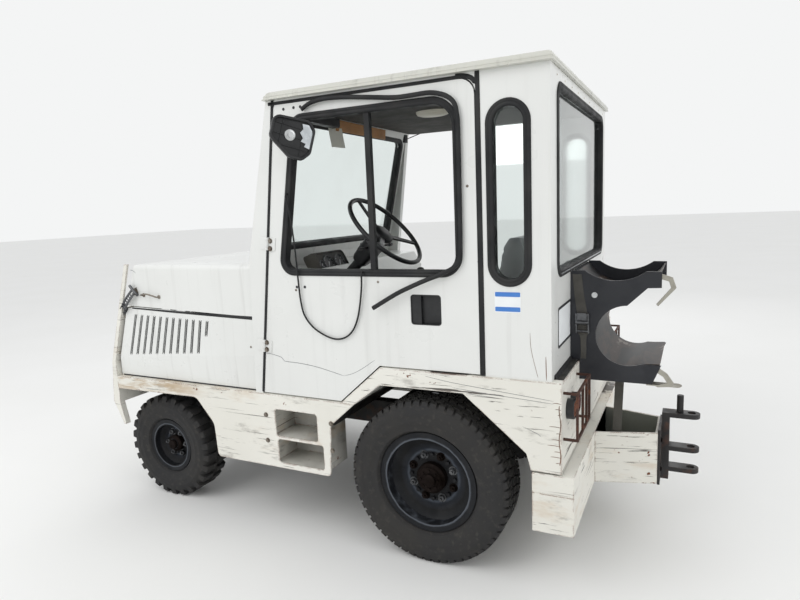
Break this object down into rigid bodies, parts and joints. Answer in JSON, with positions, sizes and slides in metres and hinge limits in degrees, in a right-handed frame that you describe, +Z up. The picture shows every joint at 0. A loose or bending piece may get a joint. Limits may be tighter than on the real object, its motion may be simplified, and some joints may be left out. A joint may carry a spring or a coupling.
{
  "type": "airport baggage tug",
  "caption": "Compact airport baggage tug with a hollow cab, sloping bonnet, step skirts, rear bottle cradle, drawbar box and eared hitch",
  "frame": {"origin": "on the ground, below the middle of the whole vehicle's bounding box, which the mirror on the left door makes 87 mm wider to the left: the vehicle's middle plane is at Y = -0.0871", "axes": "+X forward, +Y to the vehicle's left, +Z up"},
  "size_m": [2.983, 1.6582, 2.092],
  "materials": {
    "frame_black": "black chassis paint with road dirt",
    "engine_grey": "grey cast iron, oily",
    "radiator_black": "matt black core",
    "white_paint": "cool off-white gloss paint, scratched, with rust at the edges",
    "hitch_black": "thick black paint, rusty and bright where the eyes rub",
    "cradle_black": "blue-black paint",
    "worn_trough": "black paint worn to brown and grey",
    "latch_steel": "dull olive zinc, dirty",
    "webbing": "faded woven webbing",
    "rusty_steel": "rusted flat bar",
    "lamp_red": "red lens",
    "grille_black": "black bars",
    "lamp_clear": "clear lens",
    "floor_grey": "dusty rubber mat",
    "glass": "clear pane, dusty",
    "rubber_black": "matt black rubber profile",
    "trim_grey": "dusty black trim",
    "plastic_black": "black plastic, rubbed",
    "seat_vinyl": "dark grey vinyl",
    "rim_black": "blue-black paint, dusty",
    "tyre_black": "worn dusty rubber"
  },
  "bodies": {
    "body": {"chassis": "frame_black", "engine": "engine_grey", "radiator": "radiator_black", "front_axle": "frame_black", "rear_axle": "frame_black", "springs": "frame_black", "skirt_left": "white_paint", "skirt_right": "white_paint", "step_left": "white_paint", "step_right": "white_paint", "wing_left": "white_paint", "wing_right": "white_paint", "tail_panel": "white_paint", "ballast_box": "white_paint", "drawbar_box": "white_paint", "hitch": "hitch_black", "hitch_pin": "hitch_black", "cradle": "cradle_black", "troughs": "worn_trough", "latches": "latch_steel", "straps": "webbing", "lamp_guards": "rusty_steel", "tail_lamps": "lamp_red", "nose": "white_paint", "grille": "grille_black", "headlamps": "lamp_clear", "side_panel_left": "white_paint", "side_panel_right": "white_paint", "cab_floor": "floor_grey", "cab_front": "white_paint", "cab_rear": "white_paint", "cab_left": "white_paint", "cab_right": "white_paint", "roof": "white_paint", "windscreen": "glass", "rear_glass": "glass", "quarter_glass": "glass", "window_seals": "rubber_black", "dashboard": "trim_grey", "steering_column": "plastic_black", "seat_base": "frame_black", "seat": "seat_vinyl"},
    "door": {"door": "white_paint", "door_seal": "rubber_black", "door_handle": "plastic_black", "door_strip": "rubber_black", "mirror_left": "plastic_black"},
    "bonnet": {"bonnet": "white_paint"},
    "steering_wheel": {"steering_wheel": "plastic_black"},
    "knuckle_left": {"knuckle_left": "frame_black"},
    "knuckle_right": {"knuckle_right": "frame_black"},
    "wheel_front_left": {"rim_front_left": "rim_black", "tyre_front_left": "tyre_black"},
    "wheel_front_right": {"rim_front_right": "rim_black", "tyre_front_right": "tyre_black"},
    "wheel_rear_left": {"rim_rear_left": "rim_black", "tyre_rear_left": "tyre_black"},
    "wheel_rear_right": {"rim_rear_right": "rim_black", "tyre_rear_right": "tyre_black"}
  },
  "joints": [
    {"name": "door_hinge", "type": "hinge", "parent": "body", "child": "door", "pos_m": [0.32546, 0.6339, 1.431], "axis": [0.1283, 0, -0.9917], "range_deg": [0, 75]},
    {"name": "bonnet_hinge", "type": "hinge", "parent": "body", "child": "bonnet", "pos_m": [0.46278, -0.0871, 1.345], "axis": [0, -1, 0], "range_deg": [0, 55]},
    {"name": "steer_left", "type": "hinge", "parent": "body", "child": "knuckle_left", "pos_m": [1.1945, 0.3279, 0.292], "axis": [0, 0, 1], "range_deg": [-30, 30]},
    {"name": "steer_right", "type": "hinge", "parent": "body", "child": "knuckle_right", "pos_m": [1.1945, -0.5021, 0.292], "axis": [0, 0, 1], "range_deg": [-30, 30]},
    {"name": "steering_wheel_turn", "type": "hinge", "parent": "body", "child": "steering_wheel", "pos_m": [-0.0545, 0.2129, 1.44], "axis": [-0.7193, 0, 0.6947], "range_deg": [-300, 300]},
    {"name": "spin_front_left", "type": "hinge", "parent": "knuckle_left", "child": "wheel_front_left", "pos_m": [1.1945, 0.4644, 0.292], "axis": [0, 1, 0], "continuous": true},
    {"name": "spin_front_right", "type": "hinge", "parent": "knuckle_right", "child": "wheel_front_right", "pos_m": [1.1945, -0.6386, 0.292], "axis": [0, 1, 0], "continuous": true},
    {"name": "spin_rear_left", "type": "hinge", "parent": "body", "child": "wheel_rear_left", "pos_m": [-0.4205, 0.5064, 0.372], "axis": [0, 1, 0], "continuous": true},
    {"name": "spin_rear_right", "type": "hinge", "parent": "body", "child": "wheel_rear_right", "pos_m": [-0.4205, -0.6806, 0.372], "axis": [0, 1, 0], "continuous": true}
  ],
  "couplings": [
    {"joint": "steer_right", "follows": "steer_left", "ratio": 1},
    {"joint": "steering_wheel_turn", "follows": "steer_left", "ratio": 10}
  ]
}
